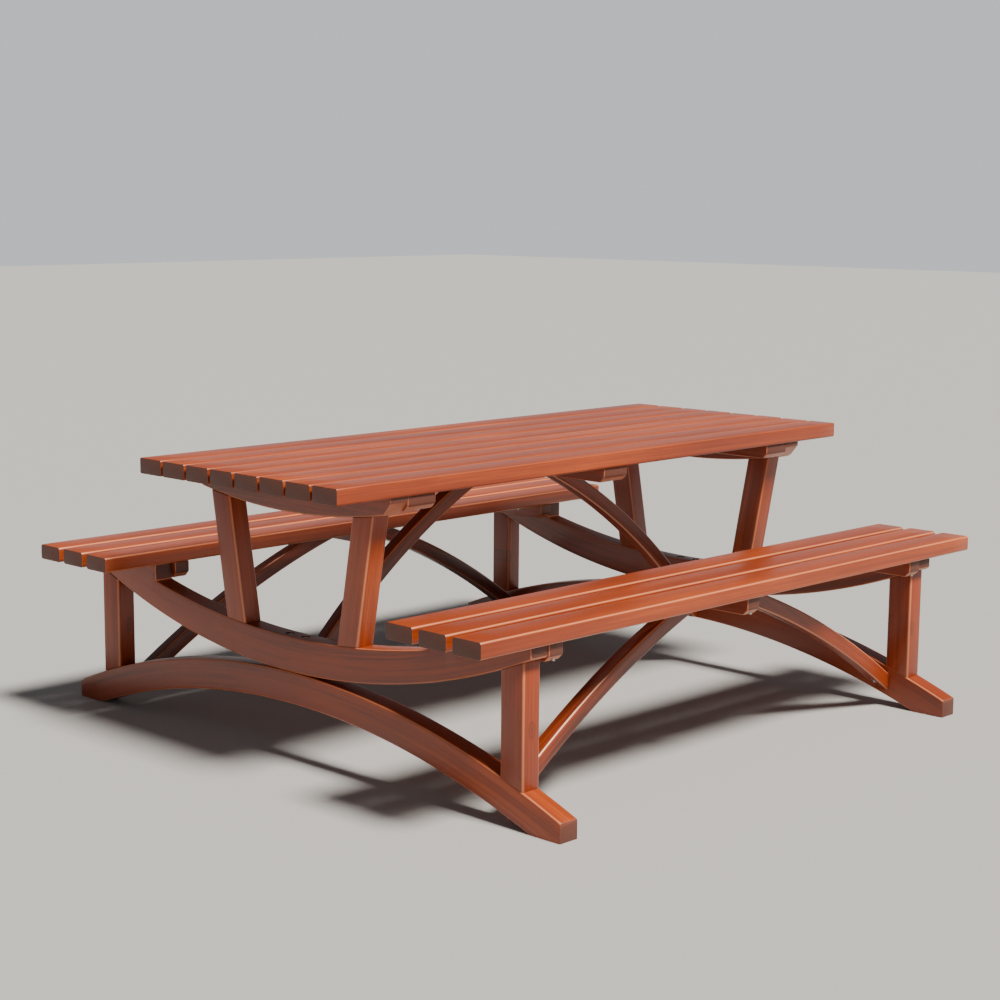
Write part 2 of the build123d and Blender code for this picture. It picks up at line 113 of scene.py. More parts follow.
key_way = Vector((0.10, -3.9, 6.4))
bpy.ops.object.light_add(type="SUN", location=key_way)
key_light = bpy.context.object
key_light.rotation_euler = (-key_way).to_track_quat("-Z", "Y").to_euler()
key_light.data.energy = sun_strength
key_light.data.angle = sun_softness
key_light.data.color = (1.0, 0.95, 0.88)

room = bpy.data.worlds.new("room")
bpy.context.scene.world = room
room.use_nodes = True
room_nodes, room_links = room.node_tree.nodes, room.node_tree.links
room_way = room_nodes.new("ShaderNodeTexCoord")
room_split = room_nodes.new("ShaderNodeSeparateXYZ")
room_walls = room_nodes.new("ShaderNodeMapRange")
room_walls.inputs["From Min"].default_value = horizon_band[0]
room_walls.inputs["From Max"].default_value = horizon_band[1]
room_walls.inputs["To Min"].default_value = horizon_glow
room_walls.inputs["To Max"].default_value = sky_glow
room_links.new(room_way.outputs["Generated"], room_split.inputs[0])
room_links.new(room_split.outputs["Z"], room_walls.inputs["Value"])
room_links.new(room_walls.outputs[0], room_nodes["Background"].inputs["Strength"])
room_nodes["Background"].inputs["Color"].default_value = (0.95, 0.97, 1.0, 1)


# ---- arches -------------------------------------------------------------------------
# Each end of the table stands on a bowed timber sawn to an arc. Its ends are cut level
# to make two feet. The edges are rounded over and the timber is stained red-brown.
arch_depth = 0.083
foot_length = 0.101
arch_round = 0.006
foot_round = 0.0025
arch_spare = 1.06           # the blank is this much longer than the finished arch
# A tone below one darkens the whole arch: painted shade.
arch_painted_light_tone = 0.85
arch_seed = 1.0
saw_step = 0.02             # length of one flat along a curve
round_segments = 5
fine_round = 0.003          # rounds up to this size take two flats, larger ones four
ring_pitch = 0.0085


def arc_radius(half_chord, rise):
    """Radius of an arc that rises this much over half its chord."""
    return (half_chord ** 2 + rise ** 2) / (2 * rise)


def open_piece(name, primitive, size, **place):
    """Starts a piece from a primitive of that size and leaves it open, all selected."""
    bpy.ops.object.select_all(action="DESELECT")
    primitive(size=1, **place)
    piece = bpy.context.object
    piece.name = piece.data.name = name
    piece.scale = size
    bpy.ops.object.transform_apply(location=True, rotation=True, scale=True)
    bpy.ops.object.mode_set(mode="EDIT")
    bpy.ops.mesh.select_all(action="SELECT")
    return piece


def open_arc(name, axis, centre, reach, depth, width, start, turn, edge_round):
    """Carries a rounded section round an arc, upright and about the X or the Y axis."""
    if axis == "X":
        outward, spin_axis, spin_turn = Vector((0, sin(start), cos(start))), (1, 0, 0), turn
        tilt, size = (pi / 2 - start, 0, 0), (width, depth, 1)
    else:
        outward, spin_axis, spin_turn = Vector((sin(start), 0, cos(start))), (0, 1, 0), -turn
        tilt, size = (0, start - pi / 2, 0), (depth, width, 1)
    piece = open_piece(name, bpy.ops.mesh.primitive_plane_add, size,
                       location=Vector(centre) + outward * reach, rotation=tilt)
    bpy.ops.mesh.bevel(offset=edge_round, segments=round_segments, affect="VERTICES")
    bpy.ops.mesh.select_all(action="SELECT")
    bpy.ops.mesh.spin(steps=ceil(reach * turn / saw_step), angle=spin_turn,
                      center=centre, axis=spin_axis)
    return piece


def saw(point, normal):
    """Cuts the open piece on a plane and takes away the side that the normal points to."""
    bpy.ops.mesh.select_all(action="SELECT")
    bpy.ops.mesh.bisect(plane_co=point, plane_no=normal, use_fill=True, clear_outer=True)


def close_piece(piece, round_over):
    """Closes the piece, rounds the edges that are still sharp and smooths the shading."""
    bpy.ops.mesh.select_all(action="SELECT")
    bpy.ops.mesh.remove_doubles(threshold=0.00001)
    bpy.ops.mesh.normals_make_consistent(inside=False)
    bpy.ops.object.mode_set(mode="OBJECT")
    rounding = piece.modifiers.new("round_over", "BEVEL")
    rounding.width = round_over
    rounding.segments = 4 if round_over > fine_round else 2
    rounding.limit_method = "ANGLE"
    rounding.angle_limit = radians(40)
    bpy.ops.object.modifier_apply(modifier="round_over")
    bpy.ops.object.shade_smooth_by_angle(angle=radians(30))
    return piece


class Shade:
    """One value in a finish. Arithmetic on it adds Math nodes to the finish."""

    def __init__(self, output):
        self.output = output

    def node(self, kind, settings, inputs, output=0):
        """Adds a node to the same finish: its settings, then what goes into it."""
        tree = self.output.id_data
        made = tree.nodes.new(kind)
        for setting, value in settings.items():
            setattr(made, setting, value)
        for socket, value in inputs.items():
            if isinstance(value, Shade):
                tree.links.new(value.output, made.inputs[socket])
            else:
                made.inputs[socket].default_value = value
        return Shade(made.outputs[output])

    def maths(self, operation, *values):
        """Adds a Math node on these values."""
        return self.node("ShaderNodeMath", {"operation": operation}, dict(enumerate(values)))

    def __add__(self, other):
        return self.maths("ADD", self, other)

    def __sub__(self, other):
        return self.maths("SUBTRACT", self, other)

    def __rsub__(self, other):
        return self.maths("SUBTRACT", other, self)

    def __mul__(self, other):
        return self.maths("MULTIPLY", self, other)

    def __truediv__(self, other):
        return self.maths("DIVIDE", self, other)

    def __rtruediv__(self, other):
        return self.maths("DIVIDE", other, self)

    def __pow__(self, other):
        return self.maths("POWER", self, other)

    def __abs__(self):
        return self.maths("ABSOLUTE", self)

    __radd__ = __add__
    __rmul__ = __mul__

    def between(self, low, high):
        """0 below the first value and 1 above the second, with a smooth rise."""
        return self.node("ShaderNodeMapRange", {"interpolation_type": "SMOOTHSTEP"},
                         {"Value": self, "From Min": low, "From Max": high})

    def noise(self, detail, roughness=0.5):
        """Cloudy noise over a vector, from 0 to 1."""
        return self.node("ShaderNodeTexNoise", {},
                         {"Vector": self, "Scale": 1.0, "Detail": detail, "Roughness": roughness})

    def mixed(self, first, second):
        """Blends two colours by this value."""
        return self.node("ShaderNodeMix", {"data_type": "RGBA"},
                         {0: self, 6: first, 7: second}, output=2)


def straight_run(lean):
    """Grain that runs straight, this far from upright."""
    def run(level, height):
        return (level * sin(lean) + height * cos(lean), level * cos(lean) - height * sin(lean),
                sin(lean), cos(lean))
    return run


def round_run(centre_level, centre_height, reach):
    """Grain that follows an arc."""
    def run(level, height):
        level, height = level - centre_level, height - centre_height
        angle = level.maths("ARCTAN2", level, height)
        out = (level * level + height * height) ** 0.5
        return (angle * reach, out - reach, level.maths("COSINE", angle),
                level.maths("SINE", angle) * -1)
    return run


stain_dark = (0.070, 0.0110, 0.0030, 1)
stain_middle = (0.235, 0.0330, 0.0055, 1)
stain_light = (0.430, 0.0740, 0.0110, 1)
stain_end = (0.070, 0.0170, 0.0080, 1)
stain_end_light = (0.160, 0.0420, 0.0200, 1)
# Pale colour for rounded edges: thin stain, and also a painted highlight.
thin_stain_and_highlight = (0.660, 0.2300, 0.1050, 1)


def stained_timber(name, plane, run, seed, painted_light_tone=1.0, edge_wear_and_highlight=1.0, knot=None):
    """Red-brown exterior stain on sawn timber, with its grain along the piece. The given tone makes
    the whole piece lighter or darker: painted light and painted shade. Its rounded edges are pale
    from thin stain and a painted highlight.
    """
    finish = bpy.data.materials.new(name)
    finish.use_nodes = True
    shader = finish.node_tree.nodes["Principled BSDF"]
    where = finish.node_tree.nodes.new("ShaderNodeTexCoord")
    place = Shade(where.outputs["Object"])
    facing = Shade(where.outputs["Normal"])
    x, y, z = (place.node("ShaderNodeSeparateXYZ", {}, {0: place}, i) for i in range(3))
    nx, ny, nz = (facing.node("ShaderNodeSeparateXYZ", {}, {0: facing}, i) for i in range(3))
    level, side, n_level, n_side = (y, x, ny, nx) if plane == "YZ" else (x, y, nx, ny)
    along, deep, level_part, height_part = run(level, z)
    n_along = n_level * level_part + nz * height_part
    n_deep = n_level * height_part - nz * level_part

    def grain(length, width, shift):
        """Vector for a pattern of this many repeats a metre along and across the grain."""
        return place.node("ShaderNodeCombineXYZ", {}, {
            0: along * length + (seed * 3.7 + shift), 1: side * width + seed * 1.9,
            2: deep * width + shift})

    # A knot is the end of a branch, and the grain swells out round it.
    knot_along, knot_side, knot_size = knot or (
        0.4 * sin(seed * 5.1), 0.02 * sin(seed * 3.3), 0.004)
    knot_run = (along - knot_along) * 0.55
    knot_cross = side - knot_side
    knot_reach = (knot_run * knot_run + knot_cross * knot_cross) ** 0.5 / knot_size
    swell = 1 / (knot_reach * knot_reach * 0.2 + 1)
    knot_heart = 1 - knot_reach.between(0.5, 1.15)
    knot_rim = 1 - abs(knot_reach - 1.3).between(0.0, 0.5)

    # Growth rings round a pith outside the piece, drawn out along it.
    bow = grain(0.9, 5.0, 1.3).noise(2.0) - 0.5
    rise = grain(2.2, 7.0, 8.1).noise(3.0) - 0.5
    pith_side = 0.05 * sin(seed * 2.3) + (seed % 3) * 0.01
    pith_deep = 0.075 + 0.03 * cos(seed * 1.7)
    ring_side = side * 0.9 + bow * 0.035 + pith_side
    ring_deep = deep + rise * 0.030 + pith_deep + swell * 0.012
    ring = (ring_side * ring_side + ring_deep * ring_deep) ** 0.5
    wave = place.maths("SINE", ring * (2 * pi / ring_pitch)) * 0.5 + 0.5
    ring_line = wave * wave * wave

    streak = grain(1.6, 95.0, 4.4).noise(5.0, 0.62)
    fibre = grain(9.0, 620.0, 2.2).noise(3.0, 0.6)
    cloud = grain(1.1, 6.0, 6.6).noise(3.0, 0.55)
    pore = grain(26.0, 900.0, 9.2).noise(1.0).between(0.66, 0.74)

    # The given tone lifts or lowers the whole figure: painted light and painted shade, set by where
    # the piece stands.
    figure = ((streak - 0.5) * 1.0 + (cloud - 0.5) * 1.25 + (fibre - 0.5) * 0.45
              + (0.56 * painted_light_tone) - ring_line * (cloud * 0.13))
    colour = figure.between(0.45, 1.05).mixed(
        figure.between(-0.05, 0.50).mixed(stain_dark, stain_middle), stain_light)
    colour = (pore * 0.40).mixed(colour, stain_dark)
    colour = (knot_rim * 0.45 + knot_heart * 0.35).mixed(colour, stain_dark)

    # The stain is thin on rounded edges, and their paleness is also a painted highlight. It soaks in
    # dark on end grain.
    widest = place.maths("MAXIMUM", abs(n_along), place.maths("MAXIMUM", abs(n_deep), abs(n_side)))
    edge = (1 - widest).between(0.02, 0.20)
    worn_and_highlit = edge * (grain(5.0, 22.0, 5.5).noise(4.0, 0.6) * 0.5 + 0.42) * edge_wear_and_highlight
    colour = worn_and_highlit.mixed(colour, thin_stain_and_highlight)
    end = abs(n_along).between(0.72, 0.93)
    end_colour = (wave * 0.2 + cloud * 0.5).mixed(stain_end, stain_end_light)
    colour = end.mixed(colour, end_colour)

    gloss = 0.36 + (cloud - 0.5) * 0.20 + (streak - 0.5) * 0.12 + pore * 0.15 + end * 0.25
    height = fibre * 0.35 + streak * 0.45 - ring_line * 0.22 - pore * 0.5 + knot_heart * 0.5
    bump = place.node("ShaderNodeBump", {}, {"Strength": 0.35, "Distance": 0.0006, "Height": height})

    for socket, value in (("Base Color", colour), ("Roughness", gloss), ("Normal", bump)):
        finish.node_tree.links.new(value.output, shader.inputs[socket])
    shader.inputs["Coat Weight"].default_value = 0.15
    shader.inputs["Coat Roughness"].default_value = 0.22
    return finish


def fit(piece, finish, slot, *nodes):
    """Gives a piece its finish and puts it in the place of its parts of the frame."""
    piece.data.materials.clear()
    piece.data.materials.append(finish)
    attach(piece, "root")
    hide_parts(*nodes)


for seed, end in enumerate(("left", "right")):
    node = f"{end}_arch"
    low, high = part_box(node)
    middle = (low.x + high.x) / 2
    arch_inner_radius = arc_radius(high.y - foot_length, high.z - arch_depth - low.z)
    arch_outer_radius = arch_inner_radius + arch_depth
    arch_centre = high.z - arch_outer_radius
    arch_reach = (arch_inner_radius + arch_outer_radius) / 2
    half_turn = high.y / arch_inner_radius * arch_spare
    arch = open_arc(f"arch_{end}", "X", (middle, 0, arch_centre), arch_reach, arch_depth,
                    high.x - low.x, -half_turn, 2 * half_turn, arch_round)
    saw((0, 0, low.z), (0, 0, -1))
    saw((0, low.y, 0), (0, -1, 0))
    saw((0, high.y, 0), (0, 1, 0))
    close_piece(arch, foot_round)
    arch_finish = stained_timber(f"arch_timber_{end}", "YZ", round_run(0, arch_centre, arch_reach),
                                 seed + arch_seed, arch_painted_light_tone)
    fit(arch, arch_finish, "frame_timber", node)


# ---- seat beams ---------------------------------------------------------------------
# A sagging beam lies on the crown of each arch and carries the two benches on its ends.
# It is sawn from one deep timber: an arc below, a shallower arc above and flat seats.
seat_beam_depth = 0.092
seat_beam_nose = 0.030
heel_inset = 0.018
heel_height = 0.046
beam_end_round = 0.004
beam_spare = 1.04
scoop_spare = 1.1
scoop_depth = 0.3           # of the blank that the upper curve is cut with
# A tone below one darkens the whole seat beam: painted shade.
beam_painted_light_tone = 0.85
beam_seed = 3.0
heel = abs(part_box("front_seat_board_1")[1].y) + heel_inset


def cut_away(piece, cutter):
    """Takes one solid out of another and throws the cutter away."""
    bpy.ops.object.mode_set(mode="OBJECT")
    bpy.ops.object.select_all(action="DESELECT")
    bpy.context.view_layer.objects.active = piece
    piece.select_set(True)
    cutting = piece.modifiers.new("cutting", "BOOLEAN")
    cutting.operation = "DIFFERENCE"
    cutting.solver = "EXACT"
    cutting.object = cutter
    bpy.ops.object.modifier_apply(modifier="cutting")
    bpy.data.objects.remove(cutter)


for seed, end in enumerate(("left", "right")):
    node = f"{end}_seat_beam"
    low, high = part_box(node)
    middle = (low.x + high.x) / 2
    low_radius = arc_radius(high.y, high.z - seat_beam_nose - low.z)
    beam_centre = low.z + low_radius
    blank_depth = high.z - low.z
    half_turn = high.y / low_radius * beam_spare
    beam = open_arc(f"seat_beam_{end}", "X", (middle, 0, beam_centre), low_radius - blank_depth / 2,
                    blank_depth, high.x - low.x, pi - half_turn, 2 * half_turn, arch_round)
    saw((0, 0, high.z), (0, 0, 1))
    saw((0, low.y, 0), (0, -1, 0))
    saw((0, high.y, 0), (0, 1, 0))
    scoop_low = low.z + seat_beam_depth
    scoop_radius = arc_radius(heel, high.z - heel_height - scoop_low)
    scoop_turn = heel / scoop_radius
    bpy.ops.object.mode_set(mode="OBJECT")
    scoop = open_arc("scoop", "X", (middle, 0, scoop_low + scoop_radius),
                     scoop_radius - scoop_depth / 2, scoop_depth, 2 * (high.x - low.x),
                     pi - scoop_turn * scoop_spare, 2 * scoop_turn * scoop_spare, arch_round)
    saw((0, -heel, 0), (0, -1, 0))
    saw((0, heel, 0), (0, 1, 0))
    bpy.ops.mesh.select_all(action="SELECT")
    bpy.ops.mesh.normals_make_consistent(inside=False)
    bpy.ops.object.mode_set(mode="OBJECT")
    bpy.context.view_layer.objects.active = beam
    bpy.ops.object.mode_set(mode="EDIT")
    bpy.ops.mesh.select_all(action="SELECT")
    bpy.ops.mesh.normals_make_consistent(inside=False)
    cut_away(beam, scoop)
    bpy.ops.object.mode_set(mode="EDIT")
    close_piece(beam, beam_end_round)
    beam_finish = stained_timber(f"seat_beam_timber_{end}", "YZ",
                                 round_run(0, beam_centre, -low_radius), seed + beam_seed,
                                 beam_painted_light_tone)
    fit(beam, beam_finish, "frame_timber", node)


# ---- table beams --------------------------------------------------------------------
# A shallower beam on each pair of posts carries the top. Its underside sags to an arc,
# and each end is sawn back on a slope so that it clears the knees.
table_beam_nose = 0.012
table_beam_cut = 0.030
table_beam_cut_rise = 0.034
table_beam_blank = 1.5      # times as deep as the finished beam
# A tone well below one darkens the whole table beam, which stands in shade under the top: painted
# shade.
table_beam_painted_light_tone = 0.55
table_beam_seed = 9.0

for seed, end in enumerate(("left", "right")):
    node = f"{end}_table_beam"
    low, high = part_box(node)
    middle = (low.x + high.x) / 2
    depth = high.z - low.z
    table_beam_half = high.y - table_beam_cut
    table_beam_rise = depth - table_beam_nose - table_beam_cut_rise
    table_beam_radius = arc_radius(table_beam_half, table_beam_rise)
    table_beam_centre = low.z + table_beam_radius
    half_turn = high.y / table_beam_radius * arch_spare
    beam = open_arc(f"table_beam_{end}", "X", (middle, 0, table_beam_centre),
                    table_beam_radius - depth * table_beam_blank / 2,
                    depth * table_beam_blank, high.x - low.x,
                    pi - half_turn, 2 * half_turn, arch_round)
    saw((0, 0, high.z), (0, 0, 1))
    for way in (-1, 1):
        saw((0, way * high.y, 0), (0, way, 0))
        saw((0, way * high.y, high.z - table_beam_nose),
            (0, way * table_beam_cut_rise, -table_beam_cut))
    close_piece(beam, beam_end_round)
    beam_finish = stained_timber(f"table_beam_timber_{end}", "YZ", straight_run(pi / 2),
                                 seed + table_beam_seed, table_beam_painted_light_tone)
    fit(beam, beam_finish, "frame_timber", node)


# ---- legs ---------------------------------------------------------------------------
# Four upright legs stand on the arches and meet the seat beams under the benches. Both
# ends are sawn to the slope of the timber that they meet, and screwed through it.
upright_round = 0.0085
sawn_round = 0.0015
leg_knot_size = 0.0075
leg_seed = 11.0


def open_bar(name, start, tilt, section, run, edge_round):
    """Draws a section with rounded corners out into a straight bar."""
    piece = open_piece(name, bpy.ops.mesh.primitive_plane_add, (*section, 1),
                       location=start, rotation=tilt)
    bpy.ops.mesh.bevel(offset=edge_round, segments=round_segments, affect="VERTICES")
    bpy.ops.mesh.select_all(action="SELECT")
    bpy.ops.mesh.extrude_region_move(TRANSFORM_OT_translate={"value": run})
    return piece


def on_arch(y):
    """Height of the top of an arch."""
    return arch_centre + sqrt(arch_outer_radius ** 2 - y ** 2)


def under_seat_beam(y):
    """Height of the underside of a seat beam."""
    return beam_centre - sqrt(low_radius ** 2 - y ** 2)


def saw_to(height_at, near, far, up):
    """Saws the top or the foot of the open piece to the slope of a curve."""
    slope = (height_at(far) - height_at(near)) / (far - near)
    saw((0, near, height_at(near)), Vector((0, -slope, 1)) * up)


frame_rows = [(end, row) for end in ("left", "right") for row in ("front", "rear")]
for seed, (end, row) in enumerate(frame_rows):
    node = f"{end}_{row}_leg"
    low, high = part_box(node)
    middle = (low + high) / 2
    leg = open_bar(f"leg_{end}_{row}", middle - Vector((0, 0, high.z - low.z)), (0, 0, 0),
                   (high.x - low.x, high.y - low.y), Vector((0, 0, 2 * (high.z - low.z))),
                   upright_round)
    saw_to(on_arch, low.y, high.y, -1)
    saw_to(under_seat_beam, low.y, high.y, 1)
    close_piece(leg, sawn_round)
    knot = (middle.z - 0.01, middle.x * (1 - seed * 0.01), leg_knot_size)
    leg_finish = stained_timber(f"leg_timber_{end}_{row}", "YZ", straight_run(0.0),
                                seed + leg_seed, knot=knot)
    fit(leg, leg_finish, "frame_timber", node)


# ---- posts --------------------------------------------------------------------------
# Four posts lean outwards from the seat beams and hold up the table beams. Like the legs
# they are square timber, sawn at both ends to the curve that each end meets.
post_width = 0.075
post_foot_spread = 0.218
post_lean = radians(10)
post_seed = 15.0


def on_seat_beam(y):
    """Height of the upper curve of a seat beam."""
    return scoop_low + scoop_radius - sqrt(scoop_radius ** 2 - y ** 2)


def under_table_beam(y):
    """Height of the underside of a table beam."""
    return table_beam_centre - sqrt(table_beam_radius ** 2 - y ** 2)


for seed, (end, row) in enumerate(frame_rows):
    node = f"{end}_{row}_post"
    low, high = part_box(node)
    way = -1 if row == "front" else 1
    lean = way * post_lean
    foot = Vector(((low.x + high.x) / 2, way * post_foot_spread, on_seat_beam(post_foot_spread)))
    length = (high.z - low.z) / cos(post_lean)
    up = Vector((0, sin(lean), cos(lean)))
    post = open_bar(f"post_{end}_{row}", foot - up * (length / 4), (-lean, 0, 0),
                    (high.x - low.x, post_width), up * (1.5 * length), upright_round)
    saw_to(on_seat_beam, foot.y - post_width / 2, foot.y + post_width / 2, -1)
    head_y = foot.y + length * sin(lean)
    saw_to(under_table_beam, head_y - post_width / 2, head_y + post_width / 2, 1)
    close_piece(post, sawn_round)
    post_finish = stained_timber(f"post_timber_{end}_{row}", "YZ", straight_run(lean),
                                 seed + post_seed)
    fit(post, post_finish, "frame_timber", node)


# ---- cleats -------------------------------------------------------------------------
# Flat cleats cross the undersides of the top and the benches, at both ends and in the
# middle, and tie the boards together. Each end is cut back underneath at a slant.
cleat_cut = 0.015
cleat_round = 0.004
cleat_seed = 19.0
cleats = [f"{place}_cleat_{end}" for place in ("table", "front_seat", "rear_seat")
          for end in ("left", "middle", "right")]

for seed, node in enumerate(cleats):
    low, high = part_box(node)
    cleat = open_piece(f"{node}_wood", bpy.ops.mesh.primitive_cube_add, high - low,
                       location=(low + high) / 2)
    saw((0, low.y, low.z + cleat_cut), (0, -1, -1))
    saw((0, high.y, low.z + cleat_cut), (0, 1, -1))
    close_piece(cleat, cleat_round)
    cleat_finish = stained_timber(f"{node}_timber", "YZ", straight_run(pi / 2),
                                  seed + cleat_seed)
    fit(cleat, cleat_finish, "cleat_timber", node)


# ---- boards -------------------------------------------------------------------------
# The top is eight boards and each bench is three, all of one section with the edges
# rounded over, laid with open gaps so that rain runs off. No two are quite straight.
top_round = 0.005
bench_round = 0.007
board_end_round = 0.002
board_wave = 0.0006
board_taper = 0.008
board_runs = 24
wave_height = 1.6           # of the two waves together
# A tone above one lightens every board, whose tops stand in the sun: painted light.
board_painted_light_tone = 1.06
# How pale the rounded edges go: thin stain and a painted highlight.
top_edge_wear_and_highlight = 0.25        # the top's pale edges, thin stain and painted highlight, are weaker than the benches'
bench_edge_wear_and_highlight = 1.0
top_seed = 30.0
bench_seed = 40.0


def board(node, seed, slot, edge_round, edge_wear_and_highlight):
    """One board, cut to its place and let go a little out of true along its length."""
    low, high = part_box(node)
    middle = (low + high) / 2
    size = high - low
    plank = open_bar(f"{node}_plank", Vector((low.x, middle.y, middle.z)), (0, pi / 2, 0),
                     (size.z, size.y), Vector((size.x, 0, 0)), edge_round)
    for cut in range(1, board_runs):
        x = low.x + (high.x - low.x) * cut / board_runs
        bpy.ops.mesh.select_all(action="SELECT")
        bpy.ops.mesh.bisect(plane_co=(x, 0, 0), plane_no=(1, 0, 0))
    close_piece(plank, board_end_round)
    for corner in plank.data.vertices:
        drift = sin(corner.co.x * 2.7 + seed * 1.9) + 0.6 * sin(corner.co.x * 6.1 + seed * 4.3)
        rise = sin(corner.co.x * 3.3 + seed * 2.7) + 0.6 * sin(corner.co.x * 5.2 + seed * 0.9)
        corner.co.y -= (corner.co.y - middle.y) * board_taper * (1 + drift / wave_height)
        corner.co.z -= board_wave * (1 + rise / wave_height) * (corner.co.z > middle.z)
    finish = stained_timber(f"{node}_timber", "XZ", straight_run(pi / 2), seed, board_painted_light_tone,
                            edge_wear_and_highlight)
    fit(plank, finish, slot, node)


for number in range(1, 9):
    board(f"top_board_{number}", number + top_seed, "top_timber", top_round, top_edge_wear_and_highlight)
for number, row in enumerate(("front", "rear")):
    for each in range(1, 4):
        board(f"{row}_seat_board_{each}", bench_seed + 3 * number + each, "bench_timber",
              bench_round, bench_edge_wear_and_highlight)


# ---- braces -------------------------------------------------------------------------
# Six bowed braces run from the middle cleats down to the arches, two under the top and
# two under each bench. They are slim square timber, sawn off upright at both ends.
brace_width = 0.042
brace_round = 0.007
brace_spare = 0.08          # turn left on at each end for the saw
# A tone well below one darkens the braces, which stand in shade under the top and the benches:
# painted shade.
brace_painted_light_tone = 0.45
table_brace_radius = 1.970
table_brace_foot = 0.201
bench_brace_radius = 2.565
bench_brace_foot = 0.099
bench_brace_head_run = 0.080
bench_brace_foot_spread = 0.736
frame_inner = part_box("right_arch")[0].x


def centre_below(head, foot, radius):
    """Centre of an arc of that radius through both points, on its underside."""
    run, drop = foot[0] - head[0], head[1] - foot[1]
    chord = hypot(run, drop)
    reach = sqrt(radius ** 2 - chord ** 2 / 4)
    return ((head[0] + foot[0]) / 2 - reach * drop / chord,
            (head[1] + foot[1]) / 2 - reach * run / chord)


def brace(node, head, foot, radius, turn, middle, seed, faces):
    """One brace, bent in its own upright plane, turned into place and sawn off."""
    end = -1 if node.endswith("left") else 1
    centre = centre_below(head, foot, radius)
    first = atan((head[0] - centre[0]) / (head[1] - centre[1]))
    last = atan((foot[0] - centre[0]) / (foot[1] - centre[1]))
    start, sweep = first - brace_spare, last - first + 2 * brace_spare
    if end < 0:
        start = -(start + sweep)
    bent = open_arc(f"{node}_wood", "Y", (end * centre[0], 0, centre[1]),
                    radius - brace_width / 2, brace_width, brace_width, start, sweep,
                    brace_round)
    bpy.ops.object.mode_set(mode="OBJECT")
    bent.rotation_euler = (0, 0, turn)
    bpy.ops.object.transform_apply(location=True, rotation=True, scale=True)
    bent.location = (0, middle, 0)
    bpy.ops.object.transform_apply(location=True, rotation=True, scale=True)
    bpy.ops.object.mode_set(mode="EDIT")
    low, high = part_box(node)
    for face in faces:
        saw(Vector([low[i] if face[i] < 0 else high[i] for i in range(3)]), face)
    close_piece(bent, sawn_round)
    finish = stained_timber(f"{node}_timber", "XZ",
                            round_run(end * centre[0], centre[1], radius - brace_width / 2),
                            seed, brace_painted_light_tone)
    fit(bent, finish, "brace_timber", node)


both_ends = [(-1, 0, 0), (1, 0, 0)]
seed = 50.0
for name, end in (("left", -1), ("right", 1)):
    node = f"table_brace_{name}"
    low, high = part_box(node)
    head_x = min(abs(low.x), abs(high.x))
    brace(node, (head_x, high.z), (frame_inner, table_brace_foot), table_brace_radius, 0.0,
          (low.y + high.y) / 2, seed, both_ends + [(0, 0, -1), (0, 0, 1)])
    seed += 1
    for row, side in (("front", -1), ("rear", 1)):
        node = f"{row}_brace_{name}"
        bench_low, bench_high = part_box(f"{row}_seat_board_2")
        bench_middle = (bench_low.y + bench_high.y) / 2
        low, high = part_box(node)
        head_x = min(abs(low.x), abs(high.x)) + bench_brace_head_run
        swing = atan((bench_brace_foot_spread - abs(bench_middle)) / frame_inner)
        brace(node, (head_x, high.z), (frame_inner, bench_brace_foot), bench_brace_radius,
              end * side * swing, bench_middle, seed, both_ends + [(0, 0, 1)])
        seed += 1


# ---- fixings ------------------------------------------------------------------------
# Zinc-plated screws, coach screws and bolts hold the table together. They go in from
# below, from inside or under the boards, with most heads sunk in round recesses.
head_clearance = 0.0012
recess_reach = 0.050
end_depth = 0.0022
head_share = 0.8            # corners further out than this share belong to the head
box_margin = 0.001
recess_sides = 24
sunk_fixings = ["top_board_screws", "seat_board_screws", "table_cleat_screws",
                "seat_cleat_screws", "post_foot_screws", "leg_foot_screws",
                "table_brace_head_screws", "table_brace_foot_screws",
                "bench_brace_head_screws", "bench_brace_foot_screws"]
hidden_fixings = ["post_head_screws", "leg_head_screws", "centre_bolts", "centre_washers",
                  "centre_nuts"]


def loose_parts(node):
    """Corners of each separate fixing in a group."""
    mesh = bpy.data.objects[node].data
    parts = []
    for face in mesh.polygons:
        corners = {tuple(round(c, 5) for c in mesh.vertices[v].co) for v in face.vertices}
        met = [part for part in parts if not part.isdisjoint(corners)]
        corners.update(*met)
        parts = [part for part in parts if part not in met] + [corners]
    return [[Vector(corner) for corner in part] for part in parts]


def head_of(corners):
    """Middle of the outer face of a head, the way that it faces, its radius and its height."""
    middle = sum(corners, Vector()) / len(corners)
    one = max(corners, key=lambda corner: (corner - middle).length)
    other = max(corners, key=lambda corner: (corner - one).length)
    rough = (other - one).normalized()
    length = (other - one).length
    ends = []
    for near in (lambda run: run < end_depth, lambda run: run > length - end_depth):
        face = [corner for corner in corners if near((corner - one).dot(rough))]
        at = sum(face, Vector()) / len(face)
        ends.append((max((corner - at).length for corner in face), at))
    radius, head = max(ends, key=lambda found: found[0])
    tip = min(ends, key=lambda found: found[0])[1]
    out = (head - tip).normalized()
    wide = [(corner - head).dot(out) for corner in corners
            if (corner - head - out * (corner - head).dot(out)).length > radius * head_share]
    return head, out, radius, max(wide) - min(wide)


def inside(piece, point):
    """Whether a point lies in the box round a piece."""
    corners = [Vector(corner) for corner in piece.bound_box]
    return all(min(c[i] for c in corners) - box_margin < point[i]
               < max(c[i] for c in corners) + box_margin for i in range(3))


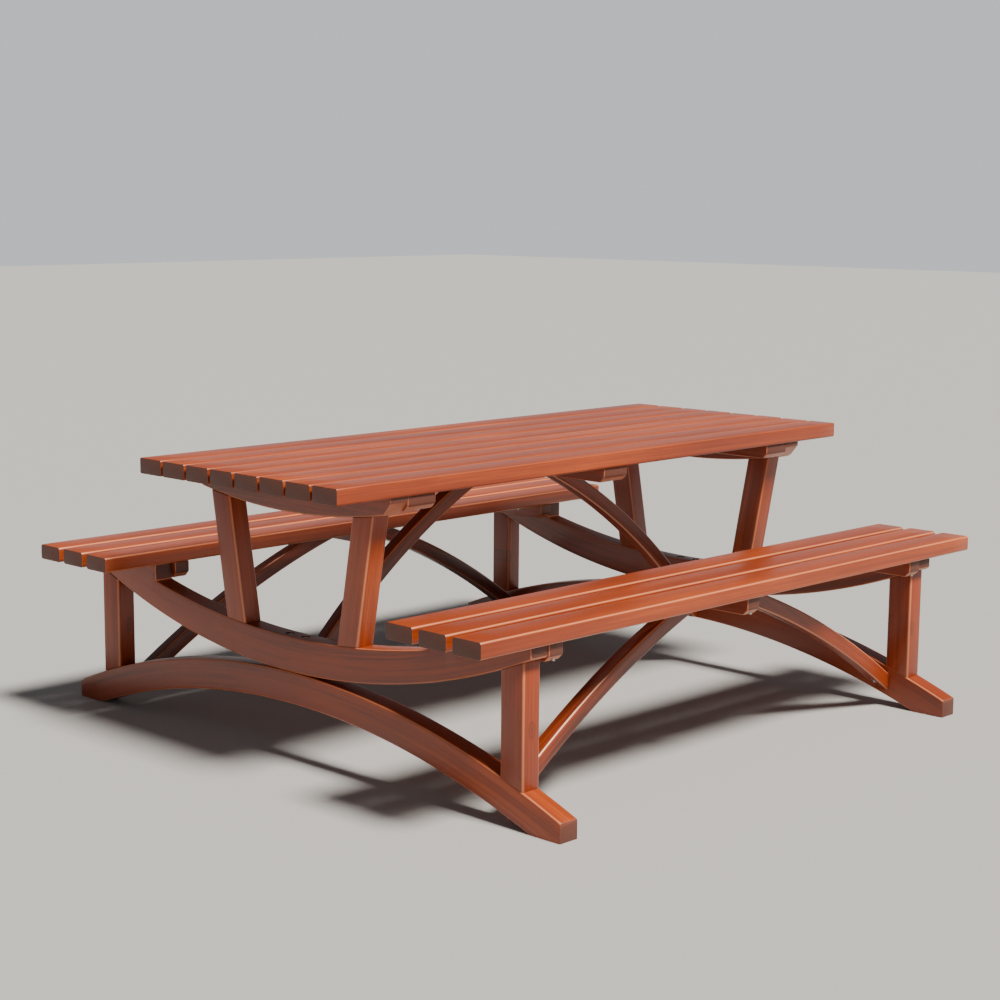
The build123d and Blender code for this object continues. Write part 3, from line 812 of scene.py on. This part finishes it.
def sink(timbers, places):
    """Bores a round recess at each place into the timber that the place lies in."""
    for timber in timbers:
        own = [place for place in places if inside(timber, place[0])]
        if not own:
            continue
        bpy.ops.object.select_all(action="DESELECT")
        cutters = []
        for head, out, radius, height in own:
            run = height + recess_reach
            bpy.ops.mesh.primitive_cylinder_add(
                vertices=recess_sides, radius=radius + head_clearance, depth=run,
                location=head + out * (run / 2 - height),
                rotation=out.to_track_quat("Z", "Y").to_euler())
            cutters.append(bpy.context.object)
        for cutter in cutters:
            cutter.select_set(True)
        if len(cutters) > 1:
            bpy.ops.object.join()
        bpy.ops.object.transform_apply(location=True, rotation=True, scale=True)
        cut_away(timber, bpy.context.object)
        bpy.ops.object.shade_smooth_by_angle(angle=radians(30))


zinc = bpy.data.materials.new("zinc_plate")
zinc.use_nodes = True
zinc_shader = zinc.node_tree.nodes["Principled BSDF"]
zinc_place = Shade(zinc.node_tree.nodes.new("ShaderNodeTexCoord").outputs["Object"])


def zinc_pattern(repeats, detail):
    """Cloudy pattern over the plating, of this many repeats a metre."""
    return zinc_place.node("ShaderNodeVectorMath", {"operation": "MULTIPLY"},
                           {0: zinc_place, 1: (repeats, repeats, repeats)}).noise(detail)


zinc_dull = zinc_pattern(140.0, 4.0).between(0.35, 0.7)
zinc_bright = (0.62, 0.62, 0.60, 1)
zinc_tarnish = (0.30, 0.28, 0.26, 1)
zinc_colour = (zinc_dull * 0.7).mixed(zinc_bright, zinc_tarnish)
zinc_gloss = zinc_pattern(900.0, 3.0) * 0.12 + zinc_dull * 0.3 + 0.22
zinc.node_tree.links.new(zinc_colour.output, zinc_shader.inputs["Base Color"])
zinc.node_tree.links.new(zinc_gloss.output, zinc_shader.inputs["Roughness"])
zinc_shader.inputs["Metallic"].default_value = 1.0
for node in sunk_fixings + hidden_fixings:
    for material_slot in bpy.data.objects[node].material_slots:
        material_slot.material = zinc

timbers = [piece for piece in bpy.data.objects if piece.name.startswith(
    ("arch_", "seat_beam_")) or piece.name.endswith("_wood")]
heads = [head_of(part) for node in sunk_fixings for part in loose_parts(node)]
washers = []
for washer in loose_parts("centre_washers"):
    middle = sum(washer, Vector()) / len(washer)
    radius = max(hypot(corner.x - middle.x, corner.y - middle.y) for corner in washer)
    way = 1 if middle.z > arch_centre + arch_outer_radius else -1
    height = max(corner.z for corner in washer) - min(corner.z for corner in washer)
    washers.append((middle + Vector((0, 0, way * height / 2)), Vector((0, 0, way)), radius, height))
sink(timbers, heads + washers)
